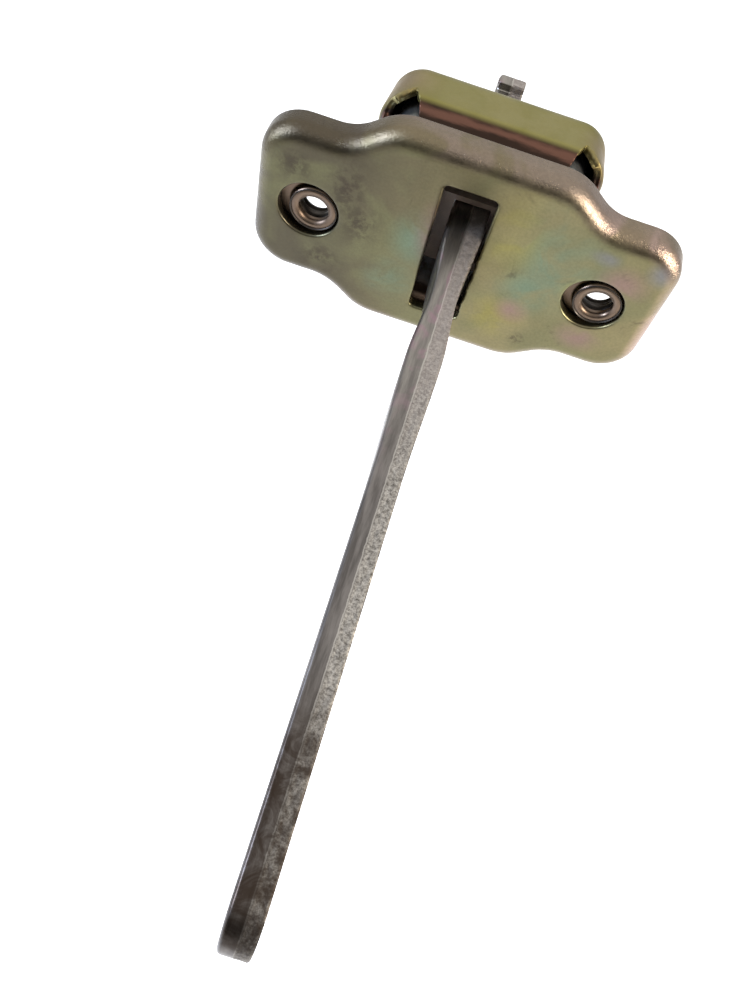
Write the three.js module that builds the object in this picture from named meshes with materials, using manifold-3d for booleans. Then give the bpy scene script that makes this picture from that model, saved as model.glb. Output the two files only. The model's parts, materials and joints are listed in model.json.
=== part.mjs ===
// Vehicle door check, also called a door stay or check link.
// A case bolts inside the door by two M6 screws, one at each end of its front plate. A steel arm
// comes out through the slot in the plate and is pinned to the body pillar by the eye at its end.
// Inside the case two rollers, pressed by rubber cushions, pinch the arm and drop into its waist.
//
// Millimetres. The origin is midway between the two screw holes, in the plate's front face.
// +X runs along the screw holes, -Y points out of the plate along the arm, +Z across both.

import * as THREE from 'three';
import Module from 'manifold-3d';
import { mergeVertices } from 'three/addons/utils/BufferGeometryUtils.js';

// General fits
const GAP = 0.3; // clearance between two pieces that touch
const ARC_STEPS = 5; // straight steps in each rounded corner
const ROUND_STEPS = 28; // sides of a round hole or shaft

// Front plate: a shallow tray of pressed sheet, waisted to a narrower wing at each end
const SHEET = 1.8;
const PLATE_LENGTH = 70.6;
const PLATE_HEIGHT = 39.6; // across the middle
const WING_HEIGHT = 29.4;
const SHOULDER_X = 14.6; // where the wide middle begins to narrow
const WING_ROOT_X = 21.2; // where it has narrowed to the wing
const RIM_DEPTH = 5.3;
const RIM_BEND = 3;
const OUTLINE_RADII = [9, 8, 7, 7, 8, 9]; // shoulder, wing root and wing corner, up one end
const SCREW_SPACING = 50;
const SCREW_CLEARANCE_RADIUS = 5.2;
const SLOT_WIDTH = 8.8;
const SLOT_LENGTH = 27;
const SLOT_CORNER = 0.8;
const PUNCH_OFFSET_X = -0.8; // the plate's holes and slot are punched a little to one side

// Inner case: a box with two flanges behind the wings, each with an M6 collar drawn forward from
// it into the plate's clearance hole
const FLANGE_FRONT = SHEET + GAP;
const FLANGE_BACK = FLANGE_FRONT + SHEET;
const CASE_WIDTH = 32.6;
const CASE_HEIGHT = 28;
const CASE_WALL = 1.5;
const CASE_BACK = 23.2;
const CASE_CORNER = 3.5;
const COLLAR_RADIUS = 4;
const COLLAR_FRONT = 0.4;
const COLLAR_BACK = 5.4;
const TAPPED_RADIUS = 2.5; // half the minor diameter of an M6 thread
const LEAD_IN_RADIUS = 3.6;
const LEAD_IN_DEPTH = 2.4;
const REAR_SLOT_LENGTH = 23.4;

// Back cover: a drawn cup over the inner case, its front edge turned in as four mitred lips
const COVER_WIDTH = 38.6;
const COVER_HEIGHT = 34.2;
const COVER_WALL = 1.4;
const COVER_BACK = 25;
const COVER_FOLD = 14; // depth at which the wall turns in as a lip
const COVER_FRONT = 9.6;
const COVER_CORNER = 6;
const COVER_BEND = 3.5;
const LIP_FALL = 1.3; // how far a lip's free edge lies inside the wall
const LIP_OVERLAP = 0.2; // how far a lip is let into the wall that it joins
const NOTCH_DEPTH = 16;
const NOTCH_X = 14.2;
const NOTCH_Z = 11.8;

// Arm: a sheared strip, turned about its swing axis to the angle at which it is stored
const SWING_Y = 13.2;
const REST_SWING_DEG = 10.8;
const ARM_WIDTH = 15;
const ARM_HALF_THICKNESS = 2.4;
const NEAR_HALF_THICKNESS = 2.8; // inside the case, in front of the head
const ARM_REACH = 122; // from the swing axis to the tip
const ARM_TIP_HALF = 2.2;
const ARM_TIP_LENGTH = 4; // over which the tip thins
const ARM_STEPS = 8; // straight steps in the arm's rounded corners
const DETENT_STEPS = 4; // straight steps between the detent's stations
const EYE_BORE_RADIUS = 4.1;
const HEAD_BACK = 22.6;
const HEAD_FRONT = 20.2;
const HEAD_WIDTH = 18;
const ARM_CORNER_RADII = [0.8, 0.3, 0.3, ARM_WIDTH / 2]; // head, shoulder, neck and eye
const DETENT_START = 14;
// distance along the arm and half thickness: the waist that the rollers drop into, then the bump
const DETENT = [
  [18, 2.6], [23.6, 2.2], [29.5, 2.6], [35.5, 2.9], [42.5, 2.7], [49.5, 2.53], [56, 2.4],
];

// End stop on the arm: a rubber buffer and a steel plate, slipped over the arm from below and
// held by the shoulder of its head
const STOP_WIDTH = 18;
const STOP_TOP = 6;
const STOP_BOTTOM = -10.2;
const STOP_CORNER = 2.5;
const BUFFER_FRONT = 16;
const BUFFER_BACK = 18.4;
const STOP_PLATE_BACK = 19.9;

// Roller gear, measured from the arm's centre plane. The rollers are modelled at the widest
// opening, just clear of the arm's bump, and float inward from there.
const ROLLER_RADIUS = 3;
const ROLLER_LENGTH = 11;
const ROLLER_CHAMFER = 0.5;
const ROLLER_AXIS_X = 6.1;
const PIN_RADIUS = 1.2;
const PIN_LENGTH = 14.2;
const CARRIER_WEB = [9.4, 10.4];
const CARRIER_HALF_Y = 4;
const EAR_INNER_X = 4.4;
const EAR_HALF_Y = 2.4;
const EAR_Z = [5.9, 7.2];

// Cage: a frame that turns with the arm and keeps the two carriers square to it
const CAGE_HALF_X = 10.2;
const CAGE_HALF_Y = 5.6;
const CAGE_HALF_Z = 9;
const CAGE_WALL = 1.2;
const ARM_WINDOW_HALF_X = 3.15;

// Pressure plates and rubber cushions, filling the case from the carriers to its side walls
const PRESSURE_PLATE_THICKNESS = 0.8;
const CUSHION_FRONT = 5.5;
const CUSHION_HEIGHT = 21.8; // clear of the rounded corners inside the case
const CUSHION_CORNER = 1.5;

const wasm = await Module();
wasm.setup();

// ---- solids -------------------------------------------------------------------------------

function toSolid(geometry) {
  const bare = geometry.clone();
  bare.deleteAttribute('normal');
  bare.deleteAttribute('uv');
  const merged = mergeVertices(bare, 1e-4);
  return new wasm.Manifold(new wasm.Mesh({
    numProp: 3,
    vertProperties: new Float32Array(merged.attributes.position.array),
    triVerts: new Uint32Array(merged.index.array),
  }));
}

function toGeometry(solid) {
  const mesh = solid.getMesh();
  const geometry = new THREE.BufferGeometry();
  geometry.setAttribute('position', new THREE.BufferAttribute(new Float32Array(mesh.vertProperties), 3));
  geometry.setIndex(new THREE.BufferAttribute(new Uint32Array(mesh.triVerts), 1));
  geometry.computeVertexNormals();
  return geometry;
}

// A box from its lowest and highest corner
function block([x0, y0, z0], [x1, y1, z1]) {
  const geometry = new THREE.BoxGeometry(x1 - x0, y1 - y0, z1 - z0);
  geometry.translate((x0 + x1) / 2, (y0 + y1) / 2, (z0 + z1) / 2);
  return toSolid(geometry);
}

// A cylinder along one axis, centred on a point
function rod(axis, radius, length, [x, y, z]) {
  const geometry = new THREE.CylinderGeometry(radius, radius, length, ROUND_STEPS);
  if (axis === 'x') geometry.rotateZ(Math.PI / 2);
  if (axis === 'z') geometry.rotateX(Math.PI / 2);
  geometry.translate(x, y, z);
  return toSolid(geometry);
}

// A solid of revolution about Y, from a closed outline of [radius, y] points
function turned(outline) {
  const points = outline.map(([radius, y]) => new THREE.Vector2(radius, y));
  points.push(points[0].clone());
  return toSolid(new THREE.LatheGeometry(points, ROUND_STEPS));
}

// Closed polygon, anticlockwise, with rounded corners, moved inward by inset. Corner radii
// shrink on outward corners and grow on inward ones, so the sheet keeps its thickness.
function roundedPolygon(corners, radii, inset = 0) {
  const count = corners.length;
  const points = corners.map(([a, b]) => new THREE.Vector2(a, b));
  const along = points.map((p, i) => points[(i + 1) % count].clone().sub(p).normalize());
  const inward = along.map((d) => new THREE.Vector2(-d.y, d.x));
  const shape = new THREE.Shape();
  points.forEach((corner, i) => {
    const before = (i + count - 1) % count;
    const cosine = inward[before].dot(inward[i]);
    const shift = inward[before].clone().add(inward[i]).multiplyScalar(inset / (1 + cosine));
    const vertex = corner.clone().add(shift);
    const turn = Math.atan2(along[before].cross(along[i]), along[before].dot(along[i]));
    const convex = turn > 0;
    const radius = radii[i] + (convex ? -inset : inset);
    const setback = radius * Math.tan(Math.abs(turn) / 2);
    const start = vertex.clone().addScaledVector(along[before], -setback);
    const side = convex ? 1 : -1;
    const centre = start.clone().addScaledVector(inward[before], side * radius);
    const from = Math.atan2(start.y - centre.y, start.x - centre.x);
    if (i === 0) shape.moveTo(start.x, start.y);
    else shape.lineTo(start.x, start.y);
    shape.absarc(centre.x, centre.y, radius, from, from + turn, !convex);
  });
  return shape;
}

function roundedRectangle(width, height, radius) {
  const [a, b] = [width / 2, height / 2];
  return roundedPolygon([[a, -b], [a, b], [-a, b], [-a, -b]], [radius, radius, radius, radius]);
}

// Turns a solid drawn in Y and Z, and as thick as its own third axis, to lie across X
function acrossX(geometry) {
  return geometry.applyMatrix4(new THREE.Matrix4().makeBasis(
    new THREE.Vector3(0, 1, 0), new THREE.Vector3(0, 0, 1), new THREE.Vector3(1, 0, 0),
  ));
}

// Extrusion of an outline drawn in X and Z, from depth y0 to y1
function slab(shape, y0, y1) {
  const geometry = new THREE.ExtrudeGeometry(shape, {
    depth: y1 - y0, bevelEnabled: false, curveSegments: ARC_STEPS,
  });
  geometry.rotateX(Math.PI / 2);
  geometry.translate(0, y1, 0);
  return toSolid(geometry);
}

// The same, with the edge at y = front rounded as a bend in the sheet. The rounding that the
// extrusion also puts on its other end is trimmed off.
function pressing(shape, front, back, bend) {
  const geometry = new THREE.ExtrudeGeometry(shape, {
    depth: back - front,
    bevelThickness: bend,
    bevelSize: bend,
    bevelOffset: -bend,
    bevelSegments: 3,
    curveSegments: ARC_STEPS,
  });
  geometry.rotateX(Math.PI / 2);
  geometry.translate(0, back + bend, 0);
  const reach = PLATE_LENGTH;
  const beyond = block([-reach, back, -reach], [reach, back + 3 * bend + 1, reach]);
  return toSolid(geometry).subtract(beyond);
}

// ---- case ---------------------------------------------------------------------------------

// Outline of the plate: a wide middle that steps down to a wing at each end
function plateOutline(inset) {
  const half = PLATE_LENGTH / 2;
  const middle = PLATE_HEIGHT / 2;
  const wing = WING_HEIGHT / 2;
  const lowerRight = [[SHOULDER_X, -middle], [WING_ROOT_X, -wing], [half, -wing]];
  const upperRight = lowerRight.map(([x, z]) => [x, -z]).reverse();
  const right = [...lowerRight, ...upperRight];
  const left = right.map(([x, z]) => [-x, -z]);
  return roundedPolygon([...right, ...left], [...OUTLINE_RADII, ...OUTLINE_RADII], inset);
}

function frontPlate() {
  const outside = pressing(plateOutline(0), 0, RIM_DEPTH, RIM_BEND);
  const hollow = pressing(plateOutline(SHEET), SHEET, RIM_DEPTH + 1, RIM_BEND - SHEET);
  let punched = slab(roundedRectangle(SLOT_WIDTH, SLOT_LENGTH, SLOT_CORNER), -1, RIM_DEPTH);
  for (const side of [-1, 1]) {
    const at = [side * SCREW_SPACING / 2, 0, 0];
    punched = punched.add(rod('y', SCREW_CLEARANCE_RADIUS, 2 * RIM_DEPTH, at));
  }
  return outside.subtract(hollow).subtract(punched.translate([PUNCH_OFFSET_X, 0, 0]));
}

// One drawn collar with its tapped bore and flared mouth, as the solid to add and to cut
function collar(x) {
  const wall = turned([
    [TAPPED_RADIUS - 1, COLLAR_FRONT], [COLLAR_RADIUS, COLLAR_FRONT],
    [COLLAR_RADIUS, COLLAR_BACK], [TAPPED_RADIUS - 1, COLLAR_BACK],
  ]);
  const bore = turned([
    [0, COLLAR_FRONT - 1], [LEAD_IN_RADIUS, COLLAR_FRONT - 1], [LEAD_IN_RADIUS, COLLAR_FRONT],
    [TAPPED_RADIUS, COLLAR_FRONT + LEAD_IN_DEPTH], [TAPPED_RADIUS, COLLAR_BACK + 1],
    [0, COLLAR_BACK + 1],
  ]);
  return { wall: wall.translate([x, 0, 0]), bore: bore.translate([x, 0, 0]) };
}

function innerCase() {
  const box = roundedRectangle(CASE_WIDTH, CASE_HEIGHT, CASE_CORNER);
  const inside = roundedRectangle(
    CASE_WIDTH - 2 * CASE_WALL, CASE_HEIGHT - 2 * CASE_WALL, CASE_CORNER - CASE_WALL,
  );
  const rearSlot = roundedRectangle(SLOT_WIDTH, REAR_SLOT_LENGTH, SLOT_CORNER);
  let shell = slab(plateOutline(SHEET + 2 * GAP), FLANGE_FRONT, FLANGE_BACK)
    .add(slab(box, FLANGE_FRONT, CASE_BACK))
    .subtract(slab(inside, FLANGE_FRONT - 1, CASE_BACK - CASE_WALL))
    .subtract(slab(rearSlot, CASE_BACK - 2 * CASE_WALL, CASE_BACK + 1));
  for (const side of [-1, 1]) {
    const { wall, bore } = collar(side * SCREW_SPACING / 2);
    shell = shell.add(wall).subtract(bore);
  }
  return shell;
}

// A lip across the wall whose outer face lies at distance reach from the middle. It is drawn
// as a bent quadrilateral in depth and distance, and as wide as the notches leave it.
function lip(reach, halfWidth) {
  const root = COVER_FOLD + LIP_OVERLAP;
  const drawn = new THREE.Shape([
    new THREE.Vector2(root, reach),
    new THREE.Vector2(COVER_FRONT, reach - LIP_FALL),
    new THREE.Vector2(COVER_FRONT, reach - LIP_FALL - COVER_WALL),
    new THREE.Vector2(root, reach - COVER_WALL),
  ]);
  const geometry = new THREE.ExtrudeGeometry(drawn, { depth: 2 * halfWidth, bevelEnabled: false });
  geometry.translate(0, 0, -halfWidth);
  return acrossX(geometry);
}

function backCover() {
  const outer = roundedRectangle(COVER_WIDTH, COVER_HEIGHT, COVER_CORNER);
  const inner = roundedRectangle(
    COVER_WIDTH - 2 * COVER_WALL, COVER_HEIGHT - 2 * COVER_WALL, COVER_CORNER - COVER_WALL,
  );
  const depth = COVER_BACK - COVER_FOLD;
  const cup = pressing(outer, 0, depth, COVER_BEND)
    .subtract(pressing(inner, COVER_WALL, depth + 1, COVER_BEND - COVER_WALL))
    .rotate([180, 0, 0])
    .translate([0, COVER_BACK, 0]);
  const rearSlot = roundedRectangle(SLOT_WIDTH, REAR_SLOT_LENGTH, SLOT_CORNER);
  let cover = cup.subtract(slab(rearSlot, COVER_BACK - 2 * COVER_WALL, COVER_BACK + 1));
  for (const turn of [0, Math.PI]) {
    const top = lip(COVER_HEIGHT / 2, NOTCH_X).rotateY(turn);
    const side = lip(COVER_WIDTH / 2, NOTCH_Z).rotateY(turn + Math.PI / 2);
    cover = cover.add(toSolid(top)).add(toSolid(side));
  }
  for (const x of [-1, 1]) {
    for (const z of [-1, 1]) {
      const [x0, x1] = [x * NOTCH_X, x * COVER_WIDTH].sort((a, b) => a - b);
      const [z0, z1] = [z * NOTCH_Z, z * COVER_HEIGHT].sort((a, b) => a - b);
      cover = cover.subtract(block([x0, COVER_FRONT - 1, z0], [x1, NOTCH_DEPTH, z1]));
    }
  }
  return cover;
}

// ---- arm ----------------------------------------------------------------------------------

// Flat pattern of the strip in Y and Z: a head behind, and a round eye at the tip
function armPattern() {
  const half = ARM_WIDTH / 2;
  const head = HEAD_WIDTH / 2;
  const upper = [
    [HEAD_BACK, head], [HEAD_FRONT, head], [HEAD_FRONT, half], [-ARM_REACH, half],
  ];
  const lower = upper.map(([y, z]) => [y, -z]).reverse();
  const radii = [...ARM_CORNER_RADII, ...ARM_CORNER_RADII.slice().reverse()];
  const geometry = new THREE.ExtrudeGeometry(roundedPolygon([...upper, ...lower], radii), {
    depth: ARM_WIDTH, bevelEnabled: false, curveSegments: ARM_STEPS,
  });
  geometry.translate(0, 0, -half);
  return toSolid(acrossX(geometry));
}

// Edge-on outline of the strip in X and Y: plain, then waist and bump, then plain to the tip
function armThickness() {
  const shank = ARM_REACH - ARM_TIP_LENGTH;
  const start = [DETENT_START, NEAR_HALF_THICKNESS];
  const stations = (side, rows) => rows.map(([reach, half]) => new THREE.Vector2(side * half, -reach));
  const shape = new THREE.Shape();
  shape.moveTo(ARM_HALF_THICKNESS, HEAD_BACK);
  shape.lineTo(-ARM_HALF_THICKNESS, HEAD_BACK);
  shape.lineTo(-NEAR_HALF_THICKNESS, 0);
  shape.lineTo(-NEAR_HALF_THICKNESS, -DETENT_START);
  shape.splineThru(stations(-1, DETENT));
  shape.lineTo(-ARM_HALF_THICKNESS, -shank);
  shape.lineTo(-ARM_TIP_HALF, -ARM_REACH);
  shape.lineTo(ARM_TIP_HALF, -ARM_REACH);
  shape.lineTo(ARM_HALF_THICKNESS, -shank);
  const [last, ...rest] = stations(1, [start, ...DETENT]).reverse();
  shape.lineTo(last.x, last.y);
  shape.splineThru(rest);
  shape.lineTo(NEAR_HALF_THICKNESS, 0);
  const geometry = new THREE.ExtrudeGeometry(shape, {
    depth: 2 * HEAD_WIDTH, bevelEnabled: false, curveSegments: DETENT_STEPS,
  });
  geometry.translate(0, 0, -HEAD_WIDTH);
  return toSolid(geometry);
}

function checkArm() {
  const eye = rod('x', EYE_BORE_RADIUS, ARM_WIDTH, [0, ARM_WIDTH / 2 - ARM_REACH, 0]);
  return armPattern().intersect(armThickness()).subtract(eye);
}

// A stop block between two depths, open at the top, with an even gap round the strip
function stopBlock(front, back) {
  const half = NEAR_HALF_THICKNESS + GAP;
  const middle = (STOP_TOP + STOP_BOTTOM) / 2;
  const outline = roundedRectangle(STOP_WIDTH, STOP_TOP - STOP_BOTTOM, STOP_CORNER);
  return slab(outline, front, back)
    .translate([0, 0, middle])
    .subtract(block([-half, front - 1, -ARM_WIDTH / 2 - GAP], [half, back + 1, STOP_TOP + 1]));
}

// ---- roller gear --------------------------------------------------------------------------

function guideCage() {
  const inside = CAGE_HALF_Y - CAGE_WALL;
  const clearZ = CAGE_HALF_Z - CAGE_WALL;
  const [x, y] = [CAGE_HALF_X, CAGE_HALF_Y];
  return block([-x, -y, -CAGE_HALF_Z], [x, y, CAGE_HALF_Z])
    .subtract(block([-x - 1, -inside, -clearZ], [x + 1, inside, clearZ]))
    .subtract(block(
      [-ARM_WINDOW_HALF_X, -y - 1, -clearZ], [ARM_WINDOW_HALF_X, y + 1, clearZ],
    ));
}

// A channel whose web bears on the pressure plate and whose two ears hold the roller's pin
function rollerCarrier() {
  const [web0, web1] = CARRIER_WEB;
  const [ear0, ear1] = EAR_Z;
  return block([web0, -CARRIER_HALF_Y, -ear1], [web1, CARRIER_HALF_Y, ear1])
    .add(block([EAR_INNER_X, -EAR_HALF_Y, ear0], [web1, EAR_HALF_Y, ear1]))
    .add(block([EAR_INNER_X, -EAR_HALF_Y, -ear1], [web1, EAR_HALF_Y, -ear0]))
    .subtract(rod('z', PIN_RADIUS + GAP, 2 * PIN_LENGTH, [ROLLER_AXIS_X, 0, 0]));
}

function roller() {
  const half = ROLLER_LENGTH / 2;
  const bore = PIN_RADIUS + GAP;
  const [face, straight] = [ROLLER_RADIUS - ROLLER_CHAMFER, half - ROLLER_CHAMFER];
  return turned([
    [bore, -half], [face, -half], [ROLLER_RADIUS, -straight],
    [ROLLER_RADIUS, straight], [face, half], [bore, half],
  ]).rotate([90, 0, 0]);
}

// A plate lying against a case side wall, between two distances from the middle
function sidePlate(x0, x1) {
  const back = CASE_BACK - CASE_WALL - GAP;
  const outline = roundedRectangle(back - CUSHION_FRONT, CUSHION_HEIGHT, CUSHION_CORNER);
  const geometry = new THREE.ExtrudeGeometry(outline, {
    depth: x1 - x0, bevelEnabled: false, curveSegments: ARC_STEPS,
  });
  return toSolid(acrossX(geometry).translate(x0, (back + CUSHION_FRONT) / 2, 0));
}

// ---- assembly -----------------------------------------------------------------------------

const finishes = {
  yellowZinc: { color: 0x9a9468, roughness: 0.38, metalness: 1 },
  oliveZinc: { color: 0x9c9a63, roughness: 0.42, metalness: 1 },
  blueZinc: { color: 0x9aa3a8, roughness: 0.35, metalness: 1 },
  shearedSteel: { color: 0x8b8983, roughness: 0.5, metalness: 1 },
  springSteel: { color: 0x84868a, roughness: 0.4, metalness: 1 },
  bearingSteel: { color: 0xb3b5b8, roughness: 0.2, metalness: 1 },
  acetal: { color: 0x232324, roughness: 0.4, metalness: 0 },
  rubber: { color: 0x1d1d1e, roughness: 0.8, metalness: 0 },
};

function mesh(name, solid, finish) {
  const made = new THREE.Mesh(toGeometry(solid), new THREE.MeshStandardMaterial(finishes[finish]));
  made.name = name;
  return made;
}

const doorCheck = new THREE.Group();
doorCheck.add(
  mesh('front_plate', frontPlate(), 'yellowZinc'),
  mesh('inner_case', innerCase(), 'blueZinc'),
  mesh('back_cover', backCover(), 'oliveZinc'),
);

// Everything that swings with the arm, drawn about the swing axis
const swinging = new THREE.Group();
swinging.position.set(0, SWING_Y, 0);
swinging.rotation.x = THREE.MathUtils.degToRad(REST_SWING_DEG);
swinging.add(
  mesh('check_arm', checkArm(), 'shearedSteel'),
  mesh('stop_buffer', stopBlock(BUFFER_FRONT, BUFFER_BACK), 'rubber'),
  mesh('stop_plate', stopBlock(BUFFER_BACK + GAP, STOP_PLATE_BACK), 'springSteel'),
  mesh('guide_cage', guideCage(), 'springSteel'),
);
doorCheck.add(swinging);

for (const [name, side] of [['left', -1], ['right', 1]]) {
  const gear = new THREE.Group();
  gear.rotation.z = side < 0 ? Math.PI : 0;
  const turning = mesh(`roller_${name}`, roller(), 'acetal');
  const pin = mesh(`roller_pin_${name}`, rod('z', PIN_RADIUS, PIN_LENGTH, [0, 0, 0]), 'bearingSteel');
  turning.position.x = ROLLER_AXIS_X;
  pin.position.x = ROLLER_AXIS_X;
  gear.add(mesh(`roller_carrier_${name}`, rollerCarrier(), 'springSteel'), turning, pin);
  swinging.add(gear);

  // distances outward from the middle of the case
  const bearing = CARRIER_WEB[1] + GAP;
  const rubber = bearing + PRESSURE_PLATE_THICKNESS + GAP;
  const wall = CASE_WIDTH / 2 - CASE_WALL - GAP;
  const stack = [
    [`pressure_plate_${name}`, bearing, bearing + PRESSURE_PLATE_THICKNESS, 'springSteel'],
    [`rubber_cushion_${name}`, rubber, wall, 'rubber'],
  ];
  for (const [node, near, far, finish] of stack) {
    const [x0, x1] = [side * near, side * far].sort((a, b) => a - b);
    doorCheck.add(mesh(node, sidePlate(x0, x1), finish));
  }
}

export default doorCheck;
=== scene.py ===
"""Looks of a vehicle door check: zinc-plated case, yellow front plate and bare sheared arm.

The pressed and sheared pieces are made again here as fine surfaces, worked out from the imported
model's boxes and joints. Lengths are in metres; MM turns a size in millimetres into metres.
"""
import json
import math

import bmesh
import bpy
import numpy as np
from mathutils import Matrix, Vector, geometry


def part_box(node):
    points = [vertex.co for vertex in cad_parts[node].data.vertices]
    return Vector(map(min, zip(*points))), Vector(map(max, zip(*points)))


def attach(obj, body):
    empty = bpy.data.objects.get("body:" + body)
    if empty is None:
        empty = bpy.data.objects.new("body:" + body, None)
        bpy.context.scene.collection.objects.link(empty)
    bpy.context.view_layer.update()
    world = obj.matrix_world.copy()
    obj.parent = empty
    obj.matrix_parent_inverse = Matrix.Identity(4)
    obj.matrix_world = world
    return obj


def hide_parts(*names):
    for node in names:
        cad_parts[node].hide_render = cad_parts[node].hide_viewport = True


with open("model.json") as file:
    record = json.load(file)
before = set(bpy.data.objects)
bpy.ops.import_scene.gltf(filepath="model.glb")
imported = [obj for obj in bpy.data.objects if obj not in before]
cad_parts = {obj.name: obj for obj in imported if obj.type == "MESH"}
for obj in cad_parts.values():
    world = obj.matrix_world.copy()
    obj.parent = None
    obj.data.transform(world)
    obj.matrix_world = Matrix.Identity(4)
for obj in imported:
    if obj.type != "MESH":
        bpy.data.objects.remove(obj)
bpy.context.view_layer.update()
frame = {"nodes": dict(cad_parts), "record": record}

MM = 0.001
GAP = 0.3 * MM

# Sizes read from the frame
PLATE_HIGH, CASE_HIGH, COVER_HIGH = (
    np.array(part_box(node)[1]) for node in ("front_plate", "inner_case", "back_cover")
)
JOINTS = {joint["name"]: joint for joint in frame["record"]["behaviour"]["joints"]}
SWING = np.array(JOINTS["arm_swing"]["pos_m"])
INWARD = np.array(JOINTS["arm_slide"]["axis"])  # along the arm, into the case
ACROSS = np.array([0.0, -INWARD[2], INWARD[1]])  # across the arm, upwards

# Front plate
SHEET = 1.8 * MM
RIM_BEND = 3 * MM
WING_HALF = 14.7 * MM
SHOULDER_X = 14.6 * MM
WING_ROOT_X = 21.2 * MM
SCREW_X = 25 * MM
SCREW_HOLE = 5.2 * MM
SLOT_HALF = (4.4 * MM, 13.5 * MM)
SLOT_CORNER = 0.9 * MM
RIM_EDGE = 0.25 * MM  # rounding of the rim's cut edge
PUNCH_ROLL = 0.45 * MM  # rounding that the punch leaves on the front of each hole
FLAT_MARGIN = 0.4 * MM  # narrow flat band between a rounding and the open face
TEAR = 0.22 * MM
PUNCH_X = -0.8 * MM  # the plate's holes and slot lie a little to one side
OUTLINE_RADII = [radius * MM for radius in (9, 8, 7, 7, 8, 9)]

# Inner case
FLANGE_FRONT = 2.1 * MM
FLANGE_BACK = 3.9 * MM
CASE_HALF = (16.3 * MM, 14 * MM)
CASE_WALL = 1.5 * MM
CASE_CORNER = 3.5 * MM
CASE_BEND = 1.2 * MM
COLLAR_ROOT = 0.5 * MM
COLLAR_OUTER = 4.15 * MM
COLLAR_FRONT = 0.42 * MM
COLLAR_RIM = 0.15 * MM
THREAD_RADIUS = 2.5 * MM
THREAD_PITCH = 1 * MM
MOUTH_DEPTH = 2.4 * MM
THREAD_RELIEF = 0.12 * MM  # half of the thread's worn depth
THREAD_START = 0.15 * MM
COLLAR_BACK = 4.7 * MM
SKIN = 0.01 * MM  # keeps the collar's two walls from lying in one place
REAR_SLOT_HALF = (4.4 * MM, 11.7 * MM)
REAR_SLOT_CORNER = 0.8 * MM

# Back cover
COVER_WALL = 1.4 * MM
COVER_CORNER = 6 * MM
COVER_BEND = 4 * MM
COVER_DRAFT = 0.9 * MM
FOLD_Y = 14.2 * MM
FOLD_SPREAD = 1.1 * MM
LIP_FALL = 1.9 * MM
LIP_EDGE = 11.2 * MM
NOTCH_TIP = 16.4 * MM
NOTCH_X = 14.4 * MM
TOP_LIP_END = 12.6 * MM
SIDE_LIP_END = 10.2 * MM
SIDE_LIP_EDGE = 12.2 * MM
SIDE_LIP_RISE = 1.5 * MM

# Arm: distance along it from the swing axis, and half thickness there
ARM_HALF_WIDTH = 7.5 * MM
ARM_REACH = 121.98 * MM
HEAD_BACK = 22.56 * MM
HEAD_FRONT = 20.2 * MM
HEAD_HALF = 9 * MM
EYE_RADIUS = 4.1 * MM
STRIP_HALF = 2.4 * MM
THICKNESS = [
    (-22.6, 2.4), (-8, 2.8), (0.8, 2.8), (3, 3.08), (10, 3.08), (23.6, 2.2), (35.5, 2.9), (56, 2.4),
    (115, 2.4),
]
TIP_HALF = 2.2 * MM
TIP_LENGTH = 7 * MM
SHEAR_ROLL = 0.7 * MM
BURR = 0.15 * MM
CRUMBLE = 0.04 * MM
FACE_MARGIN = 0.3 * MM

# Stop on the arm, behind the case: outline across the arm, and front and back along it
STOP_OUTLINE = [
    (9, -10.2), (9, 6), (3.1, 6), (3.1, -7.8), (-3.1, -7.8), (-3.1, 6), (-9, 6), (-9, -10.2),
]
STOP_RADII = [2.5, 1.2, 0.6, 0.6, 0.6, 0.6, 1.2, 2.5]
STOP_BUFFER = (-18.4 * MM, -16 * MM)
STOP_PLATE = (-19.9 * MM, -18.7 * MM)

# The plate's film: a tint, how strongly it shows, and its spots as centre, radius and squash.
FILM_TINTS = (
    ("#5c6a58", 0.95, (((15.2, 0, 6), 12, 0.8), ((-9.5, 0, -9), 6.5, 1), ((-7.5, 0, 1), 5.5, 0.7),
                       ((13, 0, -1), 8, 1))),
    ("#77703f", 0.8, (((7.6, 0, 8), 7, 0.6), ((9.5, 0, -9.5), 7, 1), ((21, 0, 1.5), 4, 1))),
    ("#745f5a", 0.85, (((24.5, 0, -8), 5.5, 1.3), ((-4.5, 0, 4), 4.5, 0.5), ((27, 0, 6), 6, 1.2),
                       ((12, 0, -7), 4, 1))),
    ("#646468", 0.85, (((22.5, 0, 10), 3.4, 1.6), ((32, 0, 10.5), 3.5, 0.9))),
)
SMUDGES = (
    ((-17, 0, 1), 5, 0.8), ((-22.5, 0, -9.4), 5.5, 1), ((-20, 0, 6.4), 5, 0.5),
    ((-29, 0, 8), 4.5, 1), ((15, 0, -13), 2.2, 1), ((-26, 0, 0), 7, 1),
)


# ---- shapes -------------------------------------------------------------------------------

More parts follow.
